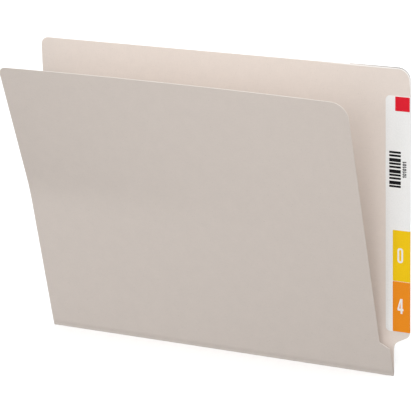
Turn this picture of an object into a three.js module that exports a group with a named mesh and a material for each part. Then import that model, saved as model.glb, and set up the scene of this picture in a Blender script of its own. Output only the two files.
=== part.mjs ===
// A side tab file folder of card, letter size, standing on its fold with the front leaf ajar.
// Millimetres. +X runs along the fold towards the tab, +Y from the front leaf to the back leaf,
// +Z up. The origin is the middle of the body on the underside of the fold.
import * as THREE from "three";

const deg = THREE.MathUtils.degToRad;

// Stock
const CARD = 0.36; // thickness of the card
const LABEL_STOCK = 0.1; // thickness of the strip label
const STICKER_STOCK = 0.09; // thickness of the month and number labels
const GLUE = 0.02; // film of glue between two stuck faces

// Body and side tab
const BODY_WIDTH = 298.45;
const HEIGHT = 241.3;
const TAB_REACH = 12.7; // how far the tab stands out past the body
const BACK_FREE_CORNER_R = 6.35; // top corner away from the tab
const TAB_CORNER_R = 9.5; // top corner of the tab
const NOTCH_BASE = 21.9; // height at which the body's edge turns out under the tab
const NOTCH_HOLLOW_R = 7;
const NOTCH_TIP_R = 5;
const NOTCH_SLOPE = deg(28); // rise of the tab's lower edge

// Second ply behind the tab
const PLY_WIDTH = 48;
const PLY_OFFSET = 0.5; // how far the ply was glued too high

// Fold
const FOLD_WIDTH = 1.2; // from the front leaf to the back leaf's outer face, bend included
const FOLD_UPSTAND = 2; // height at which the fold strip ends and the back leaf begins
const FOLD_OUTER_R = 0.45;
const FOLD_INNER_R = 0.09;
const HINGE_GAP = 0.05; // running gap between the fold's land and the front leaf

// Front leaf
const FRONT_LENGTH = 240.8; // along the card, from the fold to the top edge
const FRONT_SETBACK = 7.87; // cut back from the body's edge, so that the tab shows
const SHOULDER_HEIGHT = 26.2; // full-width stretch above the fold
const SHOULDER_RISE = 4.3; // rise of the sloping edge from the shoulder to the set-back edge
const SHOULDER_R = 0.9; // small round at the shoulder's outer corner
const FRONT_FREE_CORNER_R = 6.35;
const FRONT_TAB_CORNER_R = 12.7;

// Lean of the front leaf from upright, measured towards the front
const FREE_SIDE_LEAN = deg(12.6);
const TAB_SIDE_LEAN = deg(17);
const CURL = deg(6.5); // extra lean of the upper free corner
const CURL_FADE = 1.7; // power by which the curl dies away towards the tab side
const CURL_MIDDLE = 127; // length from the fold at which the curl has half its lean
const CURL_BLEND = 30; // length over which the curl comes in

// Labels
const LABEL_WRAP = 19.4; // how far the strip label reaches from the tab's edge, on each side
const LABEL_HEIGHT = 184.4;
const LABEL_TOP_GAP = 21; // from the tab's top edge down to the strip label
const LABEL_CORNER_R = 3.5;
const NUMBER_WRAP = 13.7;
const NUMBER_HEIGHT = 40.3;
const NUMBER_CORNER_R = 0.8;
const NUMBER_SPACING = 0.15; // bare strip between the two number labels
const LABEL_MARGIN = 0.3; // bare strip label at the ends of its column of labels
const MONTH_WIDTH = 11.5;
const MONTH_HEIGHT = 11.1;
const MONTH_EDGE_MARGIN = 0.3; // from the tab's edge

// Steps of the curved meshes
const CORNER_STEPS = 8;
const LEAF_COLUMNS = 14;
const LEAF_ROW_PITCH = 8;
const LEAF_ROW_GAP = 0.05; // rows of the front leaf that are closer than this become one
const LEAF_STEP = 1; // step of the front leaf's path along the card
const WRAP_STEPS = 4;

// Places that several pieces share
const BODY_EDGE = BODY_WIDTH / 2;
const TAB_EDGE = BODY_EDGE + TAB_REACH;
const BACK_OUTER = FOLD_WIDTH / 2; // outer face of the back leaf
const BACK_INNER = BACK_OUTER - CARD;
const PLY_INNER = BACK_OUTER + GLUE;
const PLY_OUTER = PLY_INNER + CARD;
const HINGE_Y = -FOLD_WIDTH / 2 - HINGE_GAP - CARD / 2;
const HINGE_Z = CARD / 2;
const LABEL_BOTTOM = HEIGHT - LABEL_TOP_GAP - LABEL_HEIGHT;

const X = new THREE.Vector3(1, 0, 0);
const Y = new THREE.Vector3(0, 1, 0);
const Z = new THREE.Vector3(0, 0, 1);
const UPRIGHT = new THREE.Matrix4().makeBasis(X, Z, Y.clone().negate()); // drawn in x and z
const ALONG_FOLD = new THREE.Matrix4().makeBasis(Y, Z, X); // drawn in y and z

function named(name, geometry, color, roughness) {
  const material = new THREE.MeshStandardMaterial({ color, roughness, metalness: 0 });
  const mesh = new THREE.Mesh(geometry, material);
  mesh.name = name;
  return mesh;
}

// An upright plate with the given outline in x and z, whose rear face is at y = rear.
function plate(shape, thickness, rear) {
  const settings = { depth: thickness, bevelEnabled: false, curveSegments: CORNER_STEPS };
  const geometry = new THREE.ExtrudeGeometry(shape, settings);
  return geometry.applyMatrix4(UPRIGHT).translate(0, rear, 0);
}

// Draws the tab's lower edge, an S from the body's edge out to the tab's edge, and returns the
// height at which the tab's straight edge begins.
function drawNotch(shape, base) {
  const reach = (NOTCH_HOLLOW_R + NOTCH_TIP_R) * (1 - Math.sin(NOTCH_SLOPE));
  const fit = Math.min(1, TAB_REACH / reach);
  const hollow = NOTCH_HOLLOW_R * fit;
  const tip = NOTCH_TIP_R * fit;
  const run = (TAB_REACH - reach * fit) / Math.cos(NOTCH_SLOPE);
  const hollowX = BODY_EDGE + hollow;
  shape.absarc(hollowX, base, hollow, Math.PI, Math.PI / 2 + NOTCH_SLOPE, true);
  const slopeEndX = hollowX - hollow * Math.sin(NOTCH_SLOPE) + run * Math.cos(NOTCH_SLOPE);
  const slopeEndZ = base + hollow * Math.cos(NOTCH_SLOPE) + run * Math.sin(NOTCH_SLOPE);
  const tipX = slopeEndX - tip * Math.sin(NOTCH_SLOPE);
  const tipZ = slopeEndZ + tip * Math.cos(NOTCH_SLOPE);
  shape.absarc(tipX, tipZ, tip, -Math.PI / 2 + NOTCH_SLOPE, 0, false);
  return tipZ;
}

function backLeafShape() {
  const shape = new THREE.Shape();
  shape.moveTo(-BODY_EDGE, FOLD_UPSTAND);
  shape.lineTo(BODY_EDGE, FOLD_UPSTAND);
  drawNotch(shape, NOTCH_BASE);
  const tabX = TAB_EDGE - TAB_CORNER_R;
  shape.absarc(tabX, HEIGHT - TAB_CORNER_R, TAB_CORNER_R, 0, Math.PI / 2, false);
  const freeX = -BODY_EDGE + BACK_FREE_CORNER_R;
  const freeZ = HEIGHT - BACK_FREE_CORNER_R;
  shape.absarc(freeX, freeZ, BACK_FREE_CORNER_R, Math.PI / 2, Math.PI, false);
  return shape;
}

function plyShape() {
  const top = HEIGHT + PLY_OFFSET;
  const shape = new THREE.Shape();
  shape.moveTo(TAB_EDGE - PLY_WIDTH, NOTCH_BASE + PLY_OFFSET);
  shape.lineTo(BODY_EDGE, NOTCH_BASE + PLY_OFFSET);
  drawNotch(shape, NOTCH_BASE + PLY_OFFSET);
  const tabX = TAB_EDGE - TAB_CORNER_R;
  shape.absarc(tabX, top - TAB_CORNER_R, TAB_CORNER_R, 0, Math.PI / 2, false);
  shape.lineTo(TAB_EDGE - PLY_WIDTH, top);
  return shape;
}

// Section of the fold strip in y and z: the land, the bend behind it and a short upstand.
function foldStripGeometry() {
  const shape = new THREE.Shape();
  shape.moveTo(-FOLD_WIDTH / 2, 0);
  shape.lineTo(BACK_OUTER - FOLD_OUTER_R, 0);
  shape.absarc(BACK_OUTER - FOLD_OUTER_R, FOLD_OUTER_R, FOLD_OUTER_R, -Math.PI / 2, 0, false);
  shape.lineTo(BACK_OUTER, FOLD_UPSTAND);
  shape.lineTo(BACK_INNER, FOLD_UPSTAND);
  const innerY = BACK_INNER - FOLD_INNER_R;
  shape.absarc(innerY, CARD + FOLD_INNER_R, FOLD_INNER_R, 0, -Math.PI / 2, true);
  shape.lineTo(-FOLD_WIDTH / 2, CARD);
  const settings = { depth: BODY_WIDTH, bevelEnabled: false, curveSegments: CORNER_STEPS };
  const geometry = new THREE.ExtrudeGeometry(shape, settings);
  return geometry.applyMatrix4(ALONG_FOLD).translate(-BODY_EDGE, 0, 0);
}

// A closed sheet of even thickness. rows is a grid of [a, b] places on the flat sheet, and
// place(a, b) gives the point of the middle surface there and its normal, on the side from
// which a runs right and b runs up.
function sheetGeometry(rows, thickness, place) {
  const positions = [];
  const columns = rows[0].length;
  for (const side of [0.5, -0.5]) {
    for (const [a, b] of rows.flat()) {
      const { point, normal } = place(a, b);
      const corner = point.addScaledVector(normal, side * thickness);
      positions.push(corner.x, corner.y, corner.z);
    }
  }
  const back = rows.length * columns;
  const at = (row, column) => row * columns + column;
  const index = [];
  const quad = (p, q, r, s) => index.push(p, q, r, p, r, s);
  const lastRow = rows.length - 1;
  const lastColumn = columns - 1;
  for (let i = 0; i < lastRow; i++) {
    for (let j = 0; j < lastColumn; j++) {
      quad(at(i, j), at(i, j + 1), at(i + 1, j + 1), at(i + 1, j));
      quad(back + at(i, j), back + at(i + 1, j), back + at(i + 1, j + 1), back + at(i, j + 1));
    }
    quad(at(i, 0), at(i + 1, 0), back + at(i + 1, 0), back + at(i, 0));
    const near = at(i, lastColumn);
    const far = at(i + 1, lastColumn);
    quad(near, back + near, back + far, far);
  }
  for (let j = 0; j < lastColumn; j++) {
    quad(at(0, j), back + at(0, j), back + at(0, j + 1), at(0, j + 1));
    const left = at(lastRow, j);
    quad(left, left + 1, back + left + 1, back + left);
  }
  const geometry = new THREE.BufferGeometry();
  geometry.setAttribute("position", new THREE.Float32BufferAttribute(positions, 3));
  geometry.setIndex(index);
  geometry.computeVertexNormals();
  return geometry;
}

// Lean of the front leaf at a share u of its width and a length s from the fold.
function leafLean(u, s) {
  const flat = THREE.MathUtils.lerp(FREE_SIDE_LEAN, TAB_SIDE_LEAN, u);
  const curlFrom = CURL_MIDDLE - CURL_BLEND / 2;
  const curlTo = CURL_MIDDLE + CURL_BLEND / 2;
  return flat + CURL * (1 - u) ** CURL_FADE * THREE.MathUtils.smoothstep(s, curlFrom, curlTo);
}

// Point of the front leaf's middle surface, found by adding short steps along its lean.
function placeOnLeaf(x, s) {
  const u = (x + BODY_EDGE) / BODY_WIDTH;
  const steps = Math.max(1, Math.ceil(s / LEAF_STEP));
  const step = s / steps;
  const point = new THREE.Vector3(x, HINGE_Y, HINGE_Z);
  for (let i = 0; i < steps; i++) {
    const lean = leafLean(u, (i + 0.5) * step);
    point.y -= Math.sin(lean) * step;
    point.z += Math.cos(lean) * step;
  }
  const lean = leafLean(u, s);
  return { point, normal: new THREE.Vector3(0, -Math.cos(lean), -Math.sin(lean)) };
}

// How far a round corner draws the side edge in, at a depth below the top edge.
function cornerInset(radius, depth) {
  if (depth >= radius) return 0;
  return radius - Math.sqrt(Math.max(0, radius ** 2 - (radius - depth) ** 2));
}

// Depths below the top edge that step evenly round a corner of the given radius.
function cornerDepths(radius) {
  const depths = [];
  for (let i = 0; i <= CORNER_STEPS; i++) {
    depths.push(radius * (1 - Math.cos((Math.PI / 2) * (i / CORNER_STEPS))));
  }
  return depths;
}

// Tab-side edge of the front leaf: full width at the shoulder, then the sloping edge, then the
// set-back edge up to the round corner.
function leafTabEdge(s) {
  const slopeTop = SHOULDER_HEIGHT + SHOULDER_RISE;
  const setBackEdge = BODY_EDGE - FRONT_SETBACK;
  if (s <= SHOULDER_HEIGHT - SHOULDER_R) return BODY_EDGE;
  if (s <= SHOULDER_HEIGHT) {
    const rise = s - (SHOULDER_HEIGHT - SHOULDER_R);
    return BODY_EDGE - SHOULDER_R + Math.sqrt(SHOULDER_R ** 2 - rise ** 2);
  }
  if (s < slopeTop) {
    const share = (s - SHOULDER_HEIGHT) / SHOULDER_RISE;
    return THREE.MathUtils.lerp(BODY_EDGE - SHOULDER_R, setBackEdge, share);
  }
  return setBackEdge - cornerInset(FRONT_TAB_CORNER_R, FRONT_LENGTH - s);
}

function frontLeafGeometry() {
  const slopeTop = SHOULDER_HEIGHT + SHOULDER_RISE;
  const shoulderLow = SHOULDER_HEIGHT - SHOULDER_R;
  const lengths = [shoulderLow + SHOULDER_R / 2, shoulderLow + SHOULDER_R * 0.85, SHOULDER_HEIGHT, slopeTop];
  const topRound = Math.max(FRONT_FREE_CORNER_R, FRONT_TAB_CORNER_R);
  const spread = (from, to) => {
    const count = Math.max(1, Math.round((to - from) / LEAF_ROW_PITCH));
    for (let i = 0; i <= count; i++) lengths.push(THREE.MathUtils.lerp(from, to, i / count));
  };
  spread(0, shoulderLow);
  spread(slopeTop, FRONT_LENGTH - topRound);
  for (const radius of [FRONT_FREE_CORNER_R, FRONT_TAB_CORNER_R]) {
    for (const depth of cornerDepths(radius)) lengths.push(FRONT_LENGTH - depth);
  }
  lengths.sort((a, b) => a - b);
  const apart = lengths.filter((s, i) => i === 0 || s - lengths[i - 1] > LEAF_ROW_GAP);
  const rows = apart.map((s) => {
    const left = -BODY_EDGE + cornerInset(FRONT_FREE_CORNER_R, FRONT_LENGTH - s);
    const right = leafTabEdge(s);
    const places = [];
    for (let j = 0; j <= LEAF_COLUMNS; j++) {
      places.push([THREE.MathUtils.lerp(left, right, j / LEAF_COLUMNS), s]);
    }
    return places;
  });
  return sheetGeometry(rows, CARD, placeOnLeaf);
}

// Path across a label that is folded round the tab's edge, at a distance off the card. The path
// is measured from the middle of the tab's edge: negative in front of the tab, positive behind it.
function placeOnWrap(off) {
  const edgeHalf = (PLY_OUTER - BACK_INNER) / 2;
  const middleY = (PLY_OUTER + BACK_INNER) / 2;
  const bend = (Math.PI / 2) * off;
  return (along, z) => {
    const side = Math.sign(along) || 1;
    const far = Math.abs(along);
    const point = new THREE.Vector3(TAB_EDGE + off, middleY + side * Math.min(far, edgeHalf), z);
    let turned = 0;
    if (far > edgeHalf) {
      turned = Math.min((far - edgeHalf) / bend, 1) * (Math.PI / 2);
      const straight = Math.max(0, far - edgeHalf - bend);
      point.x = TAB_EDGE + off * Math.cos(turned) - straight;
      point.y = middleY + side * (edgeHalf + off * Math.sin(turned));
    }
    return { point, normal: new THREE.Vector3(Math.cos(turned), side * Math.sin(turned), 0) };
  };
}

// A label folded round the tab's edge. off is the distance from the card to its middle surface.
function wrapGeometry(off, thickness, wrap, bottom, height, cornerR) {
  const edgeHalf = (PLY_OUTER - BACK_INNER) / 2;
  const bend = (Math.PI / 2) * off;
  const reach = edgeHalf + bend + wrap;
  const inner = [];
  for (let i = 0; i <= WRAP_STEPS; i++) inner.push(edgeHalf + (bend * i) / WRAP_STEPS);
  const across = [...inner.map((far) => -far).reverse(), ...inner];
  const heights = [];
  for (const depth of cornerDepths(cornerR)) {
    heights.push(bottom + depth, bottom + height - depth);
  }
  heights.sort((a, b) => a - b);
  const rows = heights.map((z) => {
    const depth = Math.min(z - bottom, bottom + height - z);
    const end = reach - cornerInset(cornerR, depth);
    return [-end, ...across, end].map((along) => [along, z]);
  });
  return sheetGeometry(rows, thickness, placeOnWrap(off));
}

const STRIP_OFF = GLUE + LABEL_STOCK / 2;
const STICKER_INNER_OFF = GLUE + LABEL_STOCK + GLUE;
const STICKER_OFF = STICKER_INNER_OFF + STICKER_STOCK / 2;

function numberLabel(name, place, color) {
  const bottom = LABEL_BOTTOM + LABEL_MARGIN + place * (NUMBER_HEIGHT + NUMBER_SPACING);
  const geometry = wrapGeometry(
    STICKER_OFF,
    STICKER_STOCK,
    NUMBER_WRAP,
    bottom,
    NUMBER_HEIGHT,
    NUMBER_CORNER_R,
  );
  return named(name, geometry, color, 0.42);
}

function monthLabel() {
  const right = TAB_EDGE - MONTH_EDGE_MARGIN;
  const top = LABEL_BOTTOM + LABEL_HEIGHT - LABEL_MARGIN;
  const shape = new THREE.Shape();
  shape.moveTo(right - MONTH_WIDTH, top - MONTH_HEIGHT);
  shape.lineTo(right, top - MONTH_HEIGHT);
  shape.lineTo(right, top);
  shape.lineTo(right - MONTH_WIDTH, top);
  const geometry = plate(shape, STICKER_STOCK, BACK_INNER - STICKER_INNER_OFF);
  return named("month_label", geometry, 0xda192d, 0.42);
}

function stripLabel() {
  const geometry = wrapGeometry(
    STRIP_OFF,
    LABEL_STOCK,
    LABEL_WRAP,
    LABEL_BOTTOM,
    LABEL_HEIGHT,
    LABEL_CORNER_R,
  );
  return named("strip_label", geometry, 0xf1f1ee, 0.5);
}

const backBody = new THREE.Group();
backBody.add(named("back_leaf", plate(backLeafShape(), CARD, BACK_OUTER), 0xe2d8ce, 0.85));
backBody.add(named("fold_strip", foldStripGeometry(), 0xd6c9bd, 0.85));
backBody.add(named("tab_reinforcement", plate(plyShape(), CARD, PLY_OUTER), 0xe2d8ce, 0.85));
backBody.add(stripLabel());
backBody.add(monthLabel());
backBody.add(numberLabel("number_label_orange", 0, 0xe38a23));
backBody.add(numberLabel("number_label_yellow", 1, 0xe8c014));

const frontBody = new THREE.Group();
frontBody.add(named("front_leaf", frontLeafGeometry(), 0xdccfc3, 0.85));

const folder = new THREE.Group();
folder.add(backBody, frontBody);

export default folder;
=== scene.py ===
"""Side tab file folder: the dressed model, its floor, its light and its camera."""
import math

import bpy
import numpy as np
from mathutils import Matrix, Vector
from mathutils.geometry import delaunay_2d_cdt


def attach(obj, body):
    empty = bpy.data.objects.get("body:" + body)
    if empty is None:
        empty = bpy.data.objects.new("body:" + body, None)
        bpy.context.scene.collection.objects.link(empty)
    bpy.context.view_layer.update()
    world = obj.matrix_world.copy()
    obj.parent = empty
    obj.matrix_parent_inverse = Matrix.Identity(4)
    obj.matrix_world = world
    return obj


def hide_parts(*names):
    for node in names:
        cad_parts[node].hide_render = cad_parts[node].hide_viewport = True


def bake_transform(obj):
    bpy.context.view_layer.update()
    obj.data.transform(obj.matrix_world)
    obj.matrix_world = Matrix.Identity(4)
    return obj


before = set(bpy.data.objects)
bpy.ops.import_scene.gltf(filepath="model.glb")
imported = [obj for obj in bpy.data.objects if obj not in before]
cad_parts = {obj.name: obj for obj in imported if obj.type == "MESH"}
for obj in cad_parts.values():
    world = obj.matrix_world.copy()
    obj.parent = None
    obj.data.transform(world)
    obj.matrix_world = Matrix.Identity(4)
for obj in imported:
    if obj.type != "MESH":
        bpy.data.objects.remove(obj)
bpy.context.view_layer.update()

MM = 0.001

# The folder's sizes in millimetres, as its source has them. Only the stickers are thinner, so
# that the ink on them stays within the source's size.
CARD = 0.36
GLUE = 0.02
LABEL_STOCK = 0.1
STICKER_STOCK = 0.084
BODY_EDGE = 149.225
TAB_REACH = 12.7
TAB_EDGE = BODY_EDGE + TAB_REACH
HEIGHT = 241.3
BACK_FREE_CORNER_R = 6.35
TAB_CORNER_R = 9.5
NOTCH_BASE = 21.9
NOTCH_HOLLOW_R = 7
NOTCH_TIP_R = 5
NOTCH_SLOPE = math.radians(28)
PLY_WIDTH = 48
PLY_OFFSET = 0.5
FOLD_WIDTH = 1.2
FOLD_UPSTAND = 2
RUNNING_GAP = 0.05
BACK_OUTER = FOLD_WIDTH / 2
BACK_INNER = BACK_OUTER - CARD
PLY_INNER = BACK_OUTER + GLUE
PLY_OUTER = PLY_INNER + CARD
HINGE_Y = -FOLD_WIDTH / 2 - RUNNING_GAP - CARD / 2
HINGE_Z = CARD / 2
FRONT_LENGTH = 240.8
FRONT_SETBACK = 7.87
SHOULDER_HEIGHT = 26.2
SHOULDER_RISE = 4.3
SHOULDER_R = 0.9
FRONT_FREE_CORNER_R = 6.35
FRONT_TAB_CORNER_R = 12.7
FREE_SIDE_LEAN = math.radians(12.6)
TAB_SIDE_LEAN = math.radians(17)
CURL = math.radians(6.5)
CURL_FADE = 1.7
CURL_MIDDLE = 127
CURL_BLEND = 30
LABEL_WRAP = 19.4
LABEL_HEIGHT = 184.4
LABEL_TOP_GAP = 21
LABEL_BOTTOM = HEIGHT - LABEL_TOP_GAP - LABEL_HEIGHT
LABEL_CORNER_R = 3.5
LABEL_MARGIN = 0.3
NUMBER_WRAP = 13.7
NUMBER_HEIGHT = 40.3
NUMBER_CORNER_R = 0.8
NUMBER_SPACING = 0.15
MONTH_WIDTH = 11.5
MONTH_HEIGHT = 11.1
MONTH_EDGE_MARGIN = 0.3
MONTH_CORNER_R = 0.4

# Detail that only this model has
CARD_EDGE_R = 0.07  # round on the cut edges of the card
LABEL_EDGE_R = 0.03
FOLD_BLEED = 1.5  # length of the front leaf that the bending strip takes over
INK = 0.006  # thickness of a printed shape
INK_PROUD = 0.004  # how far it stands out of the paper

# Mesh steps
ROW_PITCH = 6  # between rows of a leaf or a label
LENGTH_PITCH = 4  # between rows of the front leaf
LEAF_COLUMNS = 60
PLY_COLUMNS = 14
MONTH_COLUMNS = 3
CORNER_STEPS = 14
FRONT_CORNER_STEPS = 16
LABEL_CORNER_STEPS = 12
MONTH_CORNER_STEPS = 6
NOTCH_STEPS = 12
SHOULDER_STEPS = 5
CURVE_STEPS = 240  # along the front leaf, to follow its lean
WRAP_STEPS = 6
FACE_COLUMNS = 5  # on each face of a wrapped label
FACE_START = 1  # from the bend to the first of them
FACE_END = 4  # from the last of them to the label's end
MIN_ROW_GAP = 0.12
MIN_LABEL_ROW_GAP = 0.04
ROUND_END_STEPS = 24  # round each end of a printed 0
INSIDE_WITH_HOLES = 2  # the kind of triangulation that leaves holes open
SAME_POINT = 1e-6

STRIP_OFF = GLUE + LABEL_STOCK / 2
STICKER_INNER_OFF = GLUE + LABEL_STOCK + GLUE
STICKER_OFF = STICKER_INNER_OFF + STICKER_STOCK / 2


# Sheets
def smoothstep(value, low, high):
    share = np.clip((value - low) / (high - low), 0, 1)
    return share * share * (3 - 2 * share)


def link(obj):
    bpy.context.scene.collection.objects.link(obj)
    return obj


def add_mesh(name, vertices, faces, slots, face_slots, smooth=True):
    """Makes a mesh object from points in millimetres."""
    mesh = bpy.data.meshes.new(name)
    mesh.from_pydata([tuple(float(c) * MM for c in v) for v in vertices], [], faces)
    for material in slots:
        mesh.materials.append(material)
    mesh.polygons.foreach_set("material_index", face_slots)
    mesh.polygons.foreach_set("use_smooth", [smooth] * len(faces))
    mesh.update()
    return link(bpy.data.objects.new(name, mesh))


def outward(loop):
    """Directions that point out of a closed loop of flat points, long enough for a mitre."""
    ahead = np.roll(loop, -1, axis=0) - loop
    behind = loop - np.roll(loop, 1, axis=0)
    ahead /= np.linalg.norm(ahead, axis=1, keepdims=True)
    behind /= np.linalg.norm(behind, axis=1, keepdims=True)
    middle = ahead + behind
    middle /= np.linalg.norm(middle, axis=1, keepdims=True)
    least_cosine = 0.7
    stretch = 1 / np.maximum(np.sum(middle * ahead, axis=1, keepdims=True), least_cosine)
    return np.stack([middle[:, 1], -middle[:, 0]], axis=1) * stretch


def sheet(name, rows, place, half, edge_r, face_material, edge_material):
    """A sheet with rounded cut edges. rows is a grid of flat (a, b) places, and place gives
    the middle surface's points and normals there."""
    grid = np.array(rows, float)
    height, width = grid.shape[:2]
    rim = [(0, j) for j in range(width)]
    rim += [(i, width - 1) for i in range(1, height)]
    rim += [(height - 1, j) for j in range(width - 2, -1, -1)]
    rim += [(i, 0) for i in range(height - 2, 0, -1)]
    border = np.array([grid[i, j] for i, j in rim])
    out = outward(border)
    inset_grid = grid.copy()
    for (i, j), point, way in zip(rim, border, out):
        inset_grid[i, j] = point - way * edge_r
    flat = inset_grid.reshape(-1, 2)
    points, normals = place(flat)
    count = len(flat)
    vertices = [points + normals * half, points - normals * half]

    def at(i, j):
        return i * width + j

    faces, face_slots = [], []
    for i in range(height - 1):
        for j in range(width - 1):
            quad = (at(i, j), at(i, j + 1), at(i + 1, j + 1), at(i + 1, j))
            faces.append(quad)
            faces.append(tuple(count + k for k in reversed(quad)))
            face_slots += [0, 0]
    turns = [math.radians(a) for a in (30, 60, 90)]
    profile = [(edge_r * (1 - math.sin(t)), half - edge_r * (1 - math.cos(t))) for t in turns]
    profile += [(inset, -height_off) for inset, height_off in reversed(profile)]
    loops = [[at(i, j) for i, j in rim]]
    start = 2 * count
    for inset, off in profile:
        points, normals = place(border - out * inset)
        vertices.append(points + normals * off)
        loops.append(list(range(start, start + len(rim))))
        start += len(rim)
    loops.append([count + at(i, j) for i, j in rim])
    for inner, outer in zip(loops, loops[1:]):
        for k in range(len(rim)):
            following = (k + 1) % len(rim)
            faces.append((inner[following], inner[k], outer[k], outer[following]))
            face_slots.append(1)
    slots = [face_material, edge_material]
    return add_mesh(name, np.concatenate(vertices), faces, slots, face_slots)


def corner_inset(radius, depth):
    if depth >= radius:
        return 0
    return radius - math.sqrt(max(0, radius**2 - (radius - depth) ** 2))


def corner_depths(radius, steps):
    return [radius * (1 - math.cos(math.pi / 2 * i / steps)) for i in range(steps + 1)]


def spread(low, high, pitch):
    return list(np.linspace(low, high, max(1, round((high - low) / pitch)) + 1))


def apart(values, gap):
    kept = []
    for value in sorted(values):
        if not kept or value - kept[-1] > gap:
            kept.append(value)
    return kept


def across(left, right, columns):
    """Columns that crowd near both edges, to carry the corners."""
    near = [0, 0.4, 1.2, 3]
    plain = 5
    middle = np.linspace(left + plain, right - plain, columns)
    return [left + d for d in near] + list(middle) + [right - d for d in reversed(near)]


# Materials
def tree(name, roughness, specular):
    material = bpy.data.materials.new(name)
    material.use_nodes = True
    nodes = material.node_tree.nodes
    shader = nodes["Principled BSDF"]
    shader.inputs["Roughness"].default_value = roughness
    shader.inputs["Specular IOR Level"].default_value = specular
    return material, nodes, material.node_tree.links, shader


def coordinates(nodes, links, scale, rotation=(0, 0, 0)):
    source = nodes.new("ShaderNodeTexCoord")
    mapping = nodes.new("ShaderNodeMapping")
    mapping.inputs["Scale"].default_value = scale
    mapping.inputs["Rotation"].default_value = rotation
    links.new(source.outputs["Object"], mapping.inputs["Vector"])
    return mapping.outputs["Vector"]


def noise(nodes, links, vector, scale, detail, rough):
    texture = nodes.new("ShaderNodeTexNoise")
    texture.inputs["Scale"].default_value = scale
    texture.inputs["Detail"].default_value = detail
    texture.inputs["Roughness"].default_value = rough
    links.new(vector, texture.inputs["Vector"])
    return texture.outputs["Fac"]


def plain_noise(nodes, links, scale, detail, rough):
    """Noise that is the same in all directions."""
    return noise(nodes, links, coordinates(nodes, links, (1, 1, 1)), scale, detail, rough)


def ramp(nodes, links, value, low, high, dark, light):
    """Grey levels dark to light as value goes from low to high."""
    node = nodes.new("ShaderNodeMapRange")
    node.inputs["From Min"].default_value = low
    node.inputs["From Max"].default_value = high
    node.inputs["To Min"].default_value = dark
    node.inputs["To Max"].default_value = light
    links.new(value, node.inputs["Value"])
    return node.outputs["Result"]


def math_node(nodes, links, kind, first, second):
    node = nodes.new("ShaderNodeMath")
    node.operation = kind
    for socket, value in zip(node.inputs, (first, second)):
        if isinstance(value, (int, float)):
            socket.default_value = value
        else:
            links.new(value, socket)
    return node.outputs["Value"]


def mix(nodes, links, share, first, second):
    node = nodes.new("ShaderNodeMix")
    node.data_type = "RGBA"
    colours = [s for s in node.inputs if s.type == "RGBA"]
    factor = [s for s in node.inputs if s.type == "VALUE"][0]
    for socket, value in ((factor, share), (colours[0], first), (colours[1], second)):
        if isinstance(value, (int, float)):
            socket.default_value = value
        elif isinstance(value, tuple):
            socket.default_value = (*value, 1)
        else:
            links.new(value, socket)
    return [s for s in node.outputs if s.type == "RGBA"][0]


def bump(nodes, links, shader, height, strength, distance):
    node = nodes.new("ShaderNodeBump")
    node.inputs["Strength"].default_value = strength
    node.inputs["Distance"].default_value = distance
    links.new(height, node.inputs["Height"])
    links.new(node.outputs["Normal"], shader.inputs["Normal"])


def shade(colour, factor):
    return tuple(c * factor for c in colour)


def vector_node(nodes, links, kind, first, second):
    node = nodes.new("ShaderNodeVectorMath")
    node.operation = kind
    links.new(first, node.inputs[0])
    node.inputs[1].default_value = second
    return node.outputs["Value" if kind == "LENGTH" else "Vector"]


# Grain of the card and of its cut edge, as a scale for each axis, and relief in metres
GRAIN = (260, 1500, 1900)
CROSS_GRAIN = (1700, 1500, 330)
CROSS_TURN = (0, 0.35, 0)
EDGE_GRAIN = (300, 9000, 300)
CARD_RELIEF = 0.00002
CUT_RELIEF = 0.00003
LABEL_RELIEF = 0.00001

# The painted highlight line and painted shade line along the top rim, in metres
RIM_SOFT = 0.0001  # width over which a line's edge softens
RIM_GROWTH = 0.035  # length over which it grows
RIM_FADE_Z = (0.226, 0.233)  # heights between which it fades out on the tab's side


def top_rim(nodes, links):
    """Metres out past the back leaf's top edge and round tab corner, less than 0 on the leaf."""
    radius = TAB_CORNER_R * MM
    centre = (TAB_EDGE * MM - radius, 0, HEIGHT * MM - radius)
    place = vector_node(nodes, links, "SUBTRACT", coordinates(nodes, links, (1, 1, 1)), centre)
    flat = vector_node(nodes, links, "MULTIPLY", place, (1, 0, 1))
    outside = vector_node(nodes, links, "MAXIMUM", flat, (0, 0, 0))
    distance = vector_node(nodes, links, "LENGTH", outside, (0, 0, 0))
    return math_node(nodes, links, "SUBTRACT", distance, radius)


def lengthwise(nodes, links, axis, low, high):
    """0 at low and 1 at high, in metres along an axis of the piece."""
    parts = nodes.new("ShaderNodeSeparateXYZ")
    links.new(coordinates(nodes, links, (1, 1, 1)), parts.inputs["Vector"])
    return ramp(nodes, links, parts.outputs[axis], low, high, 0, 1)


def rim_line(nodes, links, base, low, high, start_x, colour):
    """Paints a line along the top rim, from low to high metres off the edge; here it paints a
    highlight on the back leaf and shade on the ply. It grows from start_x, and fades out down the
    side of the tab."""
    off = top_rim(nodes, links)
    above = ramp(nodes, links, off, low - RIM_SOFT, low, 0, 1)
    below = ramp(nodes, links, off, high, high + RIM_SOFT, 1, 0)
    along = lengthwise(nodes, links, "X", start_x, start_x + RIM_GROWTH)
    upper = lengthwise(nodes, links, "Z", *RIM_FADE_Z)
    line = math_node(nodes, links, "MULTIPLY", above, below)
    reach = math_node(nodes, links, "MULTIPLY", along, upper)
    return mix(nodes, links, math_node(nodes, links, "MULTIPLY", line, reach), base, colour)


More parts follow.
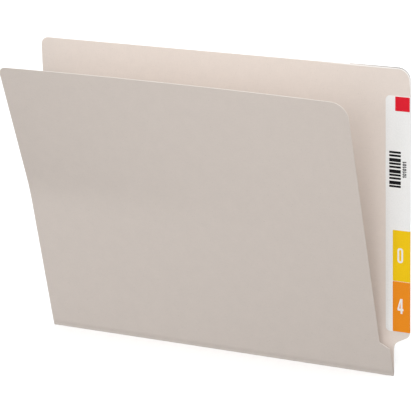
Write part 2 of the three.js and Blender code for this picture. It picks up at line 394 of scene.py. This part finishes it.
def card_material(name, colour, rim=None):
    """Uncoated card: crossed fibres, cloudy formation and a few darker flecks. rim is what
    rim_line takes after its base: a painted highlight on the back leaf, painted shade on the ply."""
    material, nodes, links, shader = tree(name, roughness=0.86, specular=0.3)
    grain = coordinates(nodes, links, GRAIN)
    cross_grain = coordinates(nodes, links, CROSS_GRAIN, CROSS_TURN)
    along = noise(nodes, links, grain, scale=1, detail=3, rough=0.6)
    over = noise(nodes, links, cross_grain, scale=1, detail=3, rough=0.6)
    cloud = plain_noise(nodes, links, scale=95, detail=3, rough=0.55)
    fleck = plain_noise(nodes, links, scale=1250, detail=1, rough=0.4)
    fibre = math_node(nodes, links, "ADD", along, over)
    fibre_share = ramp(nodes, links, fibre, 0.75, 1.25, 0, 1)
    tone = mix(nodes, links, fibre_share, shade(colour, 0.965), shade(colour, 1.03))
    cloud_share = ramp(nodes, links, cloud, 0.3, 0.7, 0, 1)
    clouded = mix(nodes, links, cloud_share, shade(colour, 0.975), shade(colour, 1.02))
    base = mix(nodes, links, 0.5, tone, clouded)
    fleck_share = ramp(nodes, links, fleck, 0.72, 0.8, 0, 0.35)
    flecked = mix(nodes, links, fleck_share, base, shade(colour, 0.6))
    if rim:
        flecked = rim_line(nodes, links, flecked, *rim)
    links.new(flecked, shader.inputs["Base Color"])
    links.new(ramp(nodes, links, fibre, 0.7, 1.3, 0.8, 0.92), shader.inputs["Roughness"])
    tooth = plain_noise(nodes, links, scale=2600, detail=2, rough=0.6)
    height = math_node(nodes, links, "ADD", fibre, tooth)
    bump(nodes, links, shader, height, strength=0.35, distance=CARD_RELIEF)
    return material


def cut_material(name, colour):
    """The cut edge of card: layers of fibre that run along the edge."""
    material, nodes, links, shader = tree(name, roughness=0.92, specular=0.2)
    edge_grain = coordinates(nodes, links, EDGE_GRAIN)
    layers = noise(nodes, links, edge_grain, scale=1, detail=3, rough=0.6)
    nicks = plain_noise(nodes, links, scale=700, detail=3, rough=0.6)
    layer_share = ramp(nodes, links, layers, 0.35, 0.65, 0, 1)
    streak = mix(nodes, links, layer_share, shade(colour, 0.93), colour)
    nick_share = ramp(nodes, links, nicks, 0.45, 0.75, 0, 0.5)
    worn = mix(nodes, links, nick_share, streak, shade(colour, 1.06))
    links.new(worn, shader.inputs["Base Color"])
    bump(nodes, links, shader, layers, strength=0.4, distance=CUT_RELIEF)
    return material


def label_material(name, colour, density=1):
    """Coated label stock with a printed tint: fine mottle, and small pinholes of bare paper
    whose share density sets."""
    material, nodes, links, shader = tree(name, roughness=0.5, specular=0.12)
    mottle = plain_noise(nodes, links, scale=900, detail=3, rough=0.65)
    cloud = plain_noise(nodes, links, scale=120, detail=2, rough=0.5)
    pinhole = plain_noise(nodes, links, scale=2600, detail=1, rough=0.4)
    mottle_share = ramp(nodes, links, mottle, 0.3, 0.7, 0, 1)
    tint = mix(nodes, links, mottle_share, shade(colour, 0.95), shade(colour, 1.04))
    cloud_share = ramp(nodes, links, cloud, 0.3, 0.7, 0, 0.5)
    even = mix(nodes, links, cloud_share, tint, shade(colour, 1.02))
    pinhole_share = ramp(nodes, links, pinhole, 0.76, 0.82, 0, 0.3 * density)
    open_ink = mix(nodes, links, pinhole_share, even, PAPER)
    links.new(open_ink, shader.inputs["Base Color"])
    links.new(ramp(nodes, links, mottle, 0.3, 0.7, 0.42, 0.56), shader.inputs["Roughness"])
    bump(nodes, links, shader, mottle, strength=0.15, distance=LABEL_RELIEF)
    return material


CARD_COLOUR = (0.745, 0.664, 0.605)
CUT_COLOUR = (0.86, 0.81, 0.76)
# The ply's cut edge is painted dark: painted shade along the ply's edge over the tab
PLY_CUT_PAINTED_SHADE = (0.40, 0.37, 0.34)
# Painted highlight and painted shade for the lines along the top rim
RIM_PAINTED_HIGHLIGHT = (0.93, 0.90, 0.87)
RIM_PAINTED_SHADE = (0.26, 0.24, 0.23)
LABEL_CUT_COLOUR = (0.80, 0.79, 0.77)
PAPER = (0.84, 0.84, 0.83)
RED = (0.70, 0.012, 0.028)
YELLOW = (0.86, 0.56, 0.008)
ORANGE = (0.82, 0.262, 0.014)
INK_BLACK = (0.006, 0.006, 0.007)

# The second ply shows over the tab as a line of painted shade, above a line of painted
# highlight along the back leaf's top edge. Each line is given as rim_line takes it: low, high,
# start_x and colour.
BACK_RIM_PAINTED_HIGHLIGHT = (-0.0007, 0.001, 0.085, RIM_PAINTED_HIGHLIGHT)
PLY_RIM_PAINTED_SHADE = (0, 0.002, 0.112, RIM_PAINTED_SHADE)

card = card_material("card_sheet", CARD_COLOUR)
back_card = card_material("card_back_sheet_painted_highlight", CARD_COLOUR, BACK_RIM_PAINTED_HIGHLIGHT)
ply_card = card_material("card_ply_sheet_painted_shade", CARD_COLOUR, PLY_RIM_PAINTED_SHADE)
cut = cut_material("card_cut_edge", CUT_COLOUR)
ply_cut = cut_material("ply_cut_edge_painted_shade", PLY_CUT_PAINTED_SHADE)
white_stock = label_material("label_white_stock", PAPER, density=0)
label_cut = cut_material("label_cut_edge", LABEL_CUT_COLOUR)
red_print = label_material("label_red_print", RED)
yellow_print = label_material("label_yellow_print", YELLOW)
orange_print = label_material("label_orange_print", ORANGE)
black_print = label_material("label_black_ink", INK_BLACK)


# Back leaf and ply
def notch(base):
    """Edge under the tab, from the body's edge out to the tab's edge, as (x, z) points."""
    sine, cosine = math.sin(NOTCH_SLOPE), math.cos(NOTCH_SLOPE)
    run = (TAB_REACH - (NOTCH_HOLLOW_R + NOTCH_TIP_R) * (1 - sine)) / cosine
    hollow_x = BODY_EDGE + NOTCH_HOLLOW_R
    tip_x = hollow_x - NOTCH_HOLLOW_R * sine + run * cosine - NOTCH_TIP_R * sine
    tip_z = base + NOTCH_HOLLOW_R * cosine + run * sine + NOTCH_TIP_R * cosine
    arcs = (
        (hollow_x, base, NOTCH_HOLLOW_R, math.pi, NOTCH_SLOPE + math.pi / 2),
        (tip_x, tip_z, NOTCH_TIP_R, NOTCH_SLOPE - math.pi / 2, 0),
    )
    points = []
    for x, z, radius, first, last in arcs:
        for i in range(NOTCH_STEPS + 1):
            turn = first + (last - first) * i / NOTCH_STEPS
            points.append((x + radius * math.cos(turn), z + radius * math.sin(turn)))
    return points


def tab_side(z, base, edge):
    """Right edge of the back leaf at a height z."""
    below = [p for p in edge if p[1] <= z]
    if z <= edge[0][1]:
        return BODY_EDGE
    if len(below) == len(edge):
        return TAB_EDGE
    first, second = below[-1], edge[len(below)]
    share = (z - first[1]) / (second[1] - first[1])
    return first[0] + (second[0] - first[0]) * share


def upright(y):
    """Places flat (x, z) points on an upright plane whose normal points to the front."""

    def place(flat):
        points = np.stack([flat[:, 0], np.full(len(flat), y), flat[:, 1]], axis=1)
        return points, np.tile([0.0, -1.0, 0.0], (len(flat), 1))

    return place


def plate_rows(bottom, top, left_of, right_of, extra, columns):
    heights = spread(bottom, top, ROW_PITCH) + extra
    heights = [h for h in apart(heights, MIN_ROW_GAP) if h <= top]
    return [[(x, h) for x in across(left_of(h), right_of(h), columns)] for h in heights]


leaf_notch = notch(NOTCH_BASE)
corner_heights = []
for radius in (BACK_FREE_CORNER_R, TAB_CORNER_R):
    corner_heights += [HEIGHT - d for d in corner_depths(radius, CORNER_STEPS)]
back_rows = plate_rows(
    FOLD_UPSTAND,
    HEIGHT,
    lambda z: -BODY_EDGE + corner_inset(BACK_FREE_CORNER_R, HEIGHT - z),
    lambda z: tab_side(z, NOTCH_BASE, leaf_notch) - corner_inset(TAB_CORNER_R, HEIGHT - z),
    corner_heights + [z for _, z in leaf_notch],
    LEAF_COLUMNS,
)
back_place = upright(BACK_OUTER - CARD / 2)
back = sheet("card_back", back_rows, back_place, CARD / 2, CARD_EDGE_R, back_card, cut)
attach(back, "back")
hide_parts("back_leaf")

ply_top = HEIGHT + PLY_OFFSET
ply_base = NOTCH_BASE + PLY_OFFSET
ply_notch = notch(ply_base)
ply_rows = plate_rows(
    ply_base,
    ply_top,
    lambda z: TAB_EDGE - PLY_WIDTH,
    lambda z: tab_side(z, ply_base, ply_notch) - corner_inset(TAB_CORNER_R, ply_top - z),
    [ply_top - d for d in corner_depths(TAB_CORNER_R, CORNER_STEPS)] + [z for _, z in ply_notch],
    PLY_COLUMNS,
)
ply_place = upright(PLY_OUTER - CARD / 2)
ply = sheet("tab_ply", ply_rows, ply_place, CARD / 2, CARD_EDGE_R, ply_card, ply_cut)
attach(ply, "back")
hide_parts("tab_reinforcement")


# Front leaf
def leaf_lean(u, s):
    """Lean of the front leaf at a share u of its width and a length s from the fold."""
    flat = FREE_SIDE_LEAN + (TAB_SIDE_LEAN - FREE_SIDE_LEAN) * u
    curled = smoothstep(s, CURL_MIDDLE - CURL_BLEND / 2, CURL_MIDDLE + CURL_BLEND / 2)
    return flat + CURL * np.maximum(1 - u, 0) ** CURL_FADE * curled


def place_on_leaf(flat):
    """Follows the leaf's lean from the fold, for flat (x, length) points."""
    u = (flat[:, 0] + BODY_EDGE) / (2 * BODY_EDGE)
    y = np.full(len(flat), HINGE_Y)
    z = np.full(len(flat), HINGE_Z)
    step = flat[:, 1] / CURVE_STEPS
    for i in range(CURVE_STEPS):
        lean = leaf_lean(u, (i + 0.5) * step)
        y = y - np.sin(lean) * step
        z = z + np.cos(lean) * step
    lean = leaf_lean(u, flat[:, 1])
    normal = np.stack([np.zeros(len(flat)), -np.cos(lean), -np.sin(lean)], axis=1)
    return np.stack([flat[:, 0], y, z], axis=1), normal


def leaf_free_edge(s):
    return -BODY_EDGE + corner_inset(FRONT_FREE_CORNER_R, FRONT_LENGTH - s)


def leaf_tab_edge(s):
    set_back = BODY_EDGE - FRONT_SETBACK
    if s <= SHOULDER_HEIGHT - SHOULDER_R:
        return BODY_EDGE
    if s <= SHOULDER_HEIGHT:
        rise = s - (SHOULDER_HEIGHT - SHOULDER_R)
        return BODY_EDGE - SHOULDER_R + math.sqrt(SHOULDER_R**2 - rise**2)
    if s < SHOULDER_HEIGHT + SHOULDER_RISE:
        share = (s - SHOULDER_HEIGHT) / SHOULDER_RISE
        return BODY_EDGE - SHOULDER_R + (set_back - BODY_EDGE + SHOULDER_R) * share
    return set_back - corner_inset(FRONT_TAB_CORNER_R, FRONT_LENGTH - s)


lengths = spread(FOLD_BLEED, FRONT_LENGTH, LENGTH_PITCH)
for radius in (FRONT_FREE_CORNER_R, FRONT_TAB_CORNER_R):
    lengths += [FRONT_LENGTH - d for d in corner_depths(radius, FRONT_CORNER_STEPS)]
for i in range(SHOULDER_STEPS + 1):
    lengths.append(SHOULDER_HEIGHT - SHOULDER_R * (1 - i / SHOULDER_STEPS))
lengths.append(SHOULDER_HEIGHT + SHOULDER_RISE)
last_row_gap = 0.05
lengths = [s for s in apart(lengths, MIN_ROW_GAP) if s < FRONT_LENGTH - last_row_gap]
lengths.append(FRONT_LENGTH)
front_rows = []
for s in lengths:
    columns = across(leaf_free_edge(s), leaf_tab_edge(s), LEAF_COLUMNS)
    front_rows.append([(x, s) for x in columns])
front = sheet("card_front", front_rows, place_on_leaf, CARD / 2, CARD_EDGE_R, card, cut)
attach(front, "front")
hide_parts("front_leaf")


# The fold: the middle line of the bent card, from the back leaf round the land to the front leaf
BEND_R = 0.27
BEND_TURNS = 9
STRAIGHT_POINTS = 8
LEAF_POINTS = 6
FOLD_COLUMNS = 61
# Room between the last point of a bend and the first point of the straight beside it
UPRIGHT_GAP = 0.1
LAND_GAP = 0.05
LEAF_GAP = 0.06
MIDDLE_BACK = BACK_OUTER - CARD / 2


def arc(centre_y, centre_z, first, last, count):
    turns = np.radians(np.linspace(first, last, count))
    return [(centre_y + BEND_R * math.cos(t), centre_z + BEND_R * math.sin(t)) for t in turns]


bend_z = HINGE_Z + BEND_R


def fold_path(lean):
    """Middle line of the fold as (y, z) points, for a front leaf that leaves it at that lean."""
    upright_end = bend_z + UPRIGHT_GAP
    path = [(MIDDLE_BACK, z) for z in np.linspace(FOLD_UPSTAND, upright_end, STRAIGHT_POINTS)]
    path += arc(MIDDLE_BACK - BEND_R, bend_z, 0, -90, BEND_TURNS)
    reach = BEND_R * math.tan((math.pi / 2 - lean) / 2)
    land = (MIDDLE_BACK - BEND_R - LAND_GAP, HINGE_Y + reach + LAND_GAP)
    path += [(y, HINGE_Z) for y in np.linspace(*land, STRAIGHT_POINTS)]
    path += arc(HINGE_Y + reach, bend_z, -90, -180 + math.degrees(lean), BEND_TURNS)
    for s in np.linspace(reach + LEAF_GAP, FOLD_BLEED, LEAF_POINTS):
        path.append((HINGE_Y - math.sin(lean) * s, HINGE_Z + math.cos(lean) * s))
    return np.array(path)


free_path = fold_path(FREE_SIDE_LEAN)
tab_path = fold_path(TAB_SIDE_LEAN)
path_count = len(free_path)


def place_on_fold(flat):
    """Flat (x, count along the path) points, with the normal on the outside of the bend."""
    u = (flat[:, 0] + BODY_EDGE) / (2 * BODY_EDGE)
    counts = np.arange(path_count)
    sides = []
    for path in (free_path, tab_path):
        slope = np.gradient(path, axis=0)
        columns = [path[:, 0], path[:, 1], slope[:, 0], slope[:, 1]]
        sides.append(np.stack([np.interp(flat[:, 1], counts, c) for c in columns], axis=1))
    y, z, ty, tz = (sides[0] + (sides[1] - sides[0]) * u[:, None]).T
    size = np.hypot(ty, tz)
    normal = np.stack([np.zeros(len(flat)), -tz / size, ty / size], axis=1)
    return np.stack([flat[:, 0], y, z], axis=1), normal


fold_columns = np.linspace(-BODY_EDGE, BODY_EDGE, FOLD_COLUMNS)
fold_rows = [[(x, n) for x in fold_columns] for n in range(path_count)]
fold = sheet("card_fold", fold_rows, place_on_fold, CARD / 2, CARD_EDGE_R, card, cut)
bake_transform(fold)
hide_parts("fold_strip")


# Labels
EDGE_HALF = (PLY_OUTER - BACK_INNER) / 2
EDGE_MIDDLE = (PLY_OUTER + BACK_INNER) / 2


def place_on_wrap(off):
    """Places flat (distance round the edge, z) points on a label folded round the tab's edge,
    off millimetres out from the card."""
    bend = math.pi / 2 * off

    def place(flat):
        side = np.where(flat[:, 0] < 0, -1.0, 1.0)
        far = np.abs(flat[:, 0])
        turned = np.clip((far - EDGE_HALF) / bend, 0, 1) * math.pi / 2
        straight = np.maximum(0, far - EDGE_HALF - bend)
        x = TAB_EDGE + off * np.cos(turned) - straight
        y = EDGE_MIDDLE + side * (np.minimum(far, EDGE_HALF) + off * np.sin(turned))
        normal = np.stack([np.cos(turned), side * np.sin(turned), np.zeros(len(flat))], axis=1)
        return np.stack([x, y, flat[:, 1]], axis=1), normal

    return place


def wrap(name, off, half, reach_in, bottom, height, corner_r, face_material):
    bend = math.pi / 2 * off
    reach = EDGE_HALF + bend + reach_in
    inner = [EDGE_HALF + bend * i / WRAP_STEPS for i in range(WRAP_STEPS + 1)]
    inner += list(np.linspace(inner[-1] + FACE_START, reach - FACE_END, FACE_COLUMNS))
    top = bottom + height
    heights = spread(bottom, top, ROW_PITCH)
    for depth in corner_depths(corner_r, LABEL_CORNER_STEPS):
        heights += [bottom + depth, top - depth]
    last_row_gap = 0.02
    heights = [h for h in apart(heights, MIN_LABEL_ROW_GAP) if h < top - last_row_gap] + [top]
    rows = []
    for h in heights:
        end = reach - corner_inset(corner_r, min(h - bottom, top - h))
        rows.append([(a, h) for a in (-end, *(-v for v in reversed(inner)), *inner, end)])
    piece = sheet(name, rows, place_on_wrap(off), half, LABEL_EDGE_R, face_material, label_cut)
    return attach(piece, "back")


def number_sticker(name, bottom, face_material):
    half = STICKER_STOCK / 2
    size = (NUMBER_WRAP, bottom, NUMBER_HEIGHT, NUMBER_CORNER_R)
    return wrap(name, STICKER_OFF, half, *size, face_material)


strip_size = (LABEL_WRAP, LABEL_BOTTOM, LABEL_HEIGHT, LABEL_CORNER_R)
strip = wrap("label_strip", STRIP_OFF, LABEL_STOCK / 2, *strip_size, white_stock)
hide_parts("strip_label")

number_low = LABEL_BOTTOM + LABEL_MARGIN
number_high = number_low + NUMBER_HEIGHT + NUMBER_SPACING
orange = number_sticker("label_orange", number_low, orange_print)
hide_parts("number_label_orange")
yellow = number_sticker("label_yellow", number_high, yellow_print)
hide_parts("number_label_yellow")

month_right = TAB_EDGE - MONTH_EDGE_MARGIN
month_left = month_right - MONTH_WIDTH
month_top = LABEL_BOTTOM + LABEL_HEIGHT - LABEL_MARGIN
month_bottom = month_top - MONTH_HEIGHT


def month_corner(z):
    return corner_inset(MONTH_CORNER_R, min(month_top - z, z - month_bottom))


month_depths = corner_depths(MONTH_CORNER_R, MONTH_CORNER_STEPS)
month_rows = plate_rows(
    month_bottom,
    month_top,
    lambda z: month_left + month_corner(z),
    lambda z: month_right - month_corner(z),
    [month_top - d for d in month_depths] + [month_bottom + d for d in month_depths],
    MONTH_COLUMNS,
)
month_half = STICKER_STOCK / 2
month_place = upright(BACK_INNER - STICKER_INNER_OFF - month_half)
month = sheet(
    "label_month", month_rows, month_place, month_half, LABEL_EDGE_R, red_print, label_cut
)
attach(month, "back")
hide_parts("month_label")


# Print
def printed(name, loops, front, y, material):
    """A thin closed plate of ink from closed (x, z) loops, on the tab's front or rear face at y.
    On the rear, x is taken with its sign turned, so that the shape reads from behind."""
    points, outlines = [], []
    for loop in loops:
        outlines.append([len(points) + i for i in range(len(loop))])
        points += [Vector(p) for p in loop]
    cut_up = delaunay_2d_cdt(points, [], outlines, INSIDE_WITH_HOLES, SAME_POINT)
    flat, triangles = cut_up[0], cut_up[2]
    way = -1 if front else 1
    vertices = []
    for off in (INK_PROUD, INK_PROUD - INK):
        vertices += [(-way * x, y + way * off, z) for x, z in flat]
    sides = {(t[i], t[(i + 1) % 3]) for t in triangles for i in range(3)}
    faces = [tuple(t) for t in triangles]
    faces += [tuple(len(flat) + k for k in reversed(t)) for t in triangles]
    for a, b in sorted(sides):
        if (b, a) not in sides:
            faces.append((b, a, len(flat) + a, len(flat) + b))
    piece = add_mesh(name, vertices, faces, [material], [0] * len(faces), smooth=False)
    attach(piece, "back")


def stadium(x, z, half_width, half_height):
    """A closed loop with two round ends."""
    loop = []
    centre_z = z + half_height - half_width
    for i in range(ROUND_END_STEPS + 1):
        turn = math.pi * i / ROUND_END_STEPS
        loop.append((x + half_width * math.cos(turn), centre_z + half_width * math.sin(turn)))
    return loop + [(2 * x - a, 2 * z - b) for a, b in loop]


def zero(x, z, width, height, stroke):
    end_stroke = stroke * 1.05
    outer = stadium(x, z, width / 2, height / 2)
    inner = stadium(x, z, width / 2 - stroke, height / 2 - end_stroke)
    return [outer, inner]


def fitted(outlines, x, z, width, height):
    """Outlines drawn in a square of 1 by 1, fitted to a width and height about their middle."""
    left, low = x - width / 2, z - height / 2
    return [[(left + a * width, low + b * height) for a, b in outline] for outline in outlines]


def one(x, z, width, height):
    outline = [(0.36, 0), (0.8, 0), (0.8, 1), (0.44, 1), (0.06, 0.8), (0.06, 0.58), (0.36, 0.72)]
    return fitted([outline], x, z, width, height)


def four(x, z, width, height):
    """A bold condensed 4 with a closed top."""
    outer = [(0.52, 0), (0.84, 0), (0.84, 0.2), (1, 0.2), (1, 0.34), (0.84, 0.34), (0.84, 1)]
    outer += [(0.46, 1), (0, 0.36), (0, 0.2), (0.52, 0.2)]
    inner = [(0.52, 0.34), (0.27, 0.34), (0.52, 0.78)]
    return fitted([outer, inner], x, z, width, height)


def box_loop(left, low, width, height):
    right, high = left + width, low + height
    return [(left, low), (right, low), (right, high), (left, high)]


def bars(left, low, width, height, count):
    """A stack of level bars whose thickness follows a simple rule of its own."""
    weights = [3 + (i * i + i) % 3 for i in range(count)]
    gaps = [1.2 + (2 * i) % 3 * 0.5 for i in range(count - 1)]
    unit = height / (sum(weights) + sum(gaps))
    loops, z = [], low
    for i, weight in enumerate(weights):
        loops.append(box_loop(left, z, width, weight * unit))
        z += weight * unit
        if i < count - 1:
            z += gaps[i] * unit
    return loops


sticker_front = BACK_INNER - STICKER_INNER_OFF - STICKER_STOCK
sticker_rear = PLY_OUTER + STICKER_INNER_OFF + STICKER_STOCK
strip_front = BACK_INNER - GLUE - LABEL_STOCK

# Middle, width and height of the large digits, and the stroke of the 0
ZERO_X, ZERO_Z, ZERO_WIDTH, ZERO_HEIGHT = 154.3, 97.2, 4.5, 11.8
ZERO_STROKE = 1.35
FOUR_X, FOUR_Z, FOUR_WIDTH, FOUR_HEIGHT = 154.55, 56.9, 4.7, 11.9

BARS_LEFT = 145.4
BARS_LOW = 150.1
BARS_WIDTH = 9.2
BARS_HEIGHT = 27.9
BAR_COUNT = 10

# The small row of plain digits, which reads up the tab
SMALL_DIGITS = "1010101"
SMALL_FOOT_X = 159
SMALL_START_Z = 158
SMALL_PITCH = 1.86
SMALL_WIDTH = 1.68
SMALL_HEIGHT = 3
SMALL_STROKE = 0.64

for front_side in (True, False):
    side = "front" if front_side else "rear"
    sign = 1 if front_side else -1
    y = sticker_front if front_side else sticker_rear
    zero_loops = zero(sign * ZERO_X, ZERO_Z, ZERO_WIDTH, ZERO_HEIGHT, ZERO_STROKE)
    printed("digit_zero_" + side, zero_loops, front_side, y, white_stock)
    four_loops = four(sign * FOUR_X, FOUR_Z, FOUR_WIDTH, FOUR_HEIGHT)
    printed("digit_four_" + side, four_loops, front_side, y, white_stock)

bar_loops = bars(BARS_LEFT, BARS_LOW, BARS_WIDTH, BARS_HEIGHT, BAR_COUNT)
printed("label_bars", bar_loops, True, strip_front, black_print)

small_loops = []
for i, digit in enumerate(SMALL_DIGITS):
    spot = ((i + 0.5) * SMALL_PITCH, SMALL_HEIGHT / 2, SMALL_WIDTH, SMALL_HEIGHT)
    small_loops += zero(*spot, SMALL_STROKE) if digit == "0" else one(*spot)
small_loops = [[(SMALL_FOOT_X - b, SMALL_START_Z + a) for a, b in loop] for loop in small_loops]
printed("label_digits", small_loops, True, strip_front, black_print)


# Floor, light and camera
def seen_directly(nodes, links):
    """1 for what the camera sees, also in a reflection or through glass, and 0 for other rays."""
    rays = nodes.new("ShaderNodeLightPath").outputs
    gloss_too = math_node(nodes, links, "MAXIMUM", rays["Is Camera Ray"], rays["Is Glossy Ray"])
    return math_node(nodes, links, "MAXIMUM", gloss_too, rays["Is Transmission Ray"])


def floor_material(name, seen_colour, bounce_colour):
    """A matt floor that looks white and throws less light back at the folder."""
    material, nodes, links, shader = tree(name, roughness=1, specular=0)
    colour = mix(nodes, links, seen_directly(nodes, links), bounce_colour, seen_colour)
    links.new(colour, shader.inputs["Base Color"])
    return material


WHITE = (1, 1, 1)
FLOOR_BOUNCE = (0.14, 0.136, 0.132)
FLOOR_HALF = 6  # metres
FLOOR_DROP = 0.00002  # keeps the floor out of the plane of the folder's foot
WORLD_STRENGTH = 0.47

floor_mesh = bpy.data.meshes.new("studio_floor")
floor_loop = box_loop(-FLOOR_HALF, -FLOOR_HALF, 2 * FLOOR_HALF, 2 * FLOOR_HALF)
floor_mesh.from_pydata([(x, y, 0) for x, y in floor_loop], [], [(0, 1, 2, 3)])
floor_mesh.materials.append(floor_material("studio_floor_white", WHITE, FLOOR_BOUNCE))
floor = link(bpy.data.objects.new("studio_floor", floor_mesh))
floor.location.z = -FLOOR_DROP

world = bpy.data.worlds.new("studio_world")
bpy.context.scene.world = world
world.use_nodes = True
world_nodes = world.node_tree.nodes
world_links = world.node_tree.links
ambient = world_nodes["Background"]
ambient.inputs["Color"].default_value = (*WHITE, 1)
ambient.inputs["Strength"].default_value = WORLD_STRENGTH
seen = world_nodes.new("ShaderNodeBackground")
seen.inputs["Color"].default_value = (*WHITE, 1)
seen.inputs["Strength"].default_value = 1
blend_world = world_nodes.new("ShaderNodeMixShader")
world_links.new(seen_directly(world_nodes, world_links), blend_world.inputs["Fac"])
world_links.new(ambient.outputs["Background"], blend_world.inputs[1])
world_links.new(seen.outputs["Background"], blend_world.inputs[2])
world_links.new(blend_world.outputs["Shader"], world_nodes["World Output"].inputs["Surface"])


def aimed(name, light, towards):
    obj = link(bpy.data.objects.new(name, light))
    obj.rotation_euler = Vector(towards).to_track_quat("-Z", "Y").to_euler()
    return obj


def softbox(name, location, target, size, power):
    light = bpy.data.lights.new(name, "AREA")
    light.size = size
    light.energy = power
    aimed(name, light, Vector(target) - Vector(location)).location = location


def soft_sun(name, level, towards, spread_deg, colour):
    """Even, soft light. level is the share of a facing surface's own colour that it shows."""
    light = bpy.data.lights.new(name, "SUN")
    light.energy = level * math.pi
    light.color = colour
    light.angle = math.radians(spread_deg)
    aimed(name, light, towards)


COOL_KEY = (0.97, 1, 1.03)
COOL_REAR = (0.95, 1, 1.03)
soft_sun("light_key", level=0.365, towards=(-0.37, 0.793, -0.485), spread_deg=40, colour=COOL_KEY)
soft_sun("light_over", level=0.42, towards=(-0.1, 0.36, -0.93), spread_deg=50, colour=WHITE)
soft_sun("light_rear", level=0.5, towards=(0.2, -0.84, -0.5), spread_deg=50, colour=COOL_REAR)
softbox("light_front", location=(0.08, -0.8, 0.28), target=(0, 0, 0.17), size=0.5, power=1.55)

# The plain camera that comes closest to the photographed corners
CAMERA_AT = (0.72534, -1.45738, 0.62347)
CAMERA_RIGHT = Vector((0.89697, 0.44141, -0.02458))
CAMERA_UP = Vector((-0.11016, 0.27701, 0.95453))
SENSOR_WIDTH_MM = 36
LENS_MM = 189.97
CLIP_START = 0.05
camera_data = bpy.data.cameras.new("camera")
camera_data.sensor_width = SENSOR_WIDTH_MM
camera_data.lens = LENS_MM
camera_data.clip_start = CLIP_START
camera = link(bpy.data.objects.new("camera", camera_data))
right = CAMERA_RIGHT.normalized()
up = (CAMERA_UP - right * CAMERA_UP.dot(right)).normalized()
rotation = Matrix((right, up, right.cross(up))).transposed()
camera.matrix_world = Matrix.Translation(CAMERA_AT) @ rotation.to_4x4()
bpy.context.scene.camera = camera
bpy.context.scene.view_settings.view_transform = "Standard"
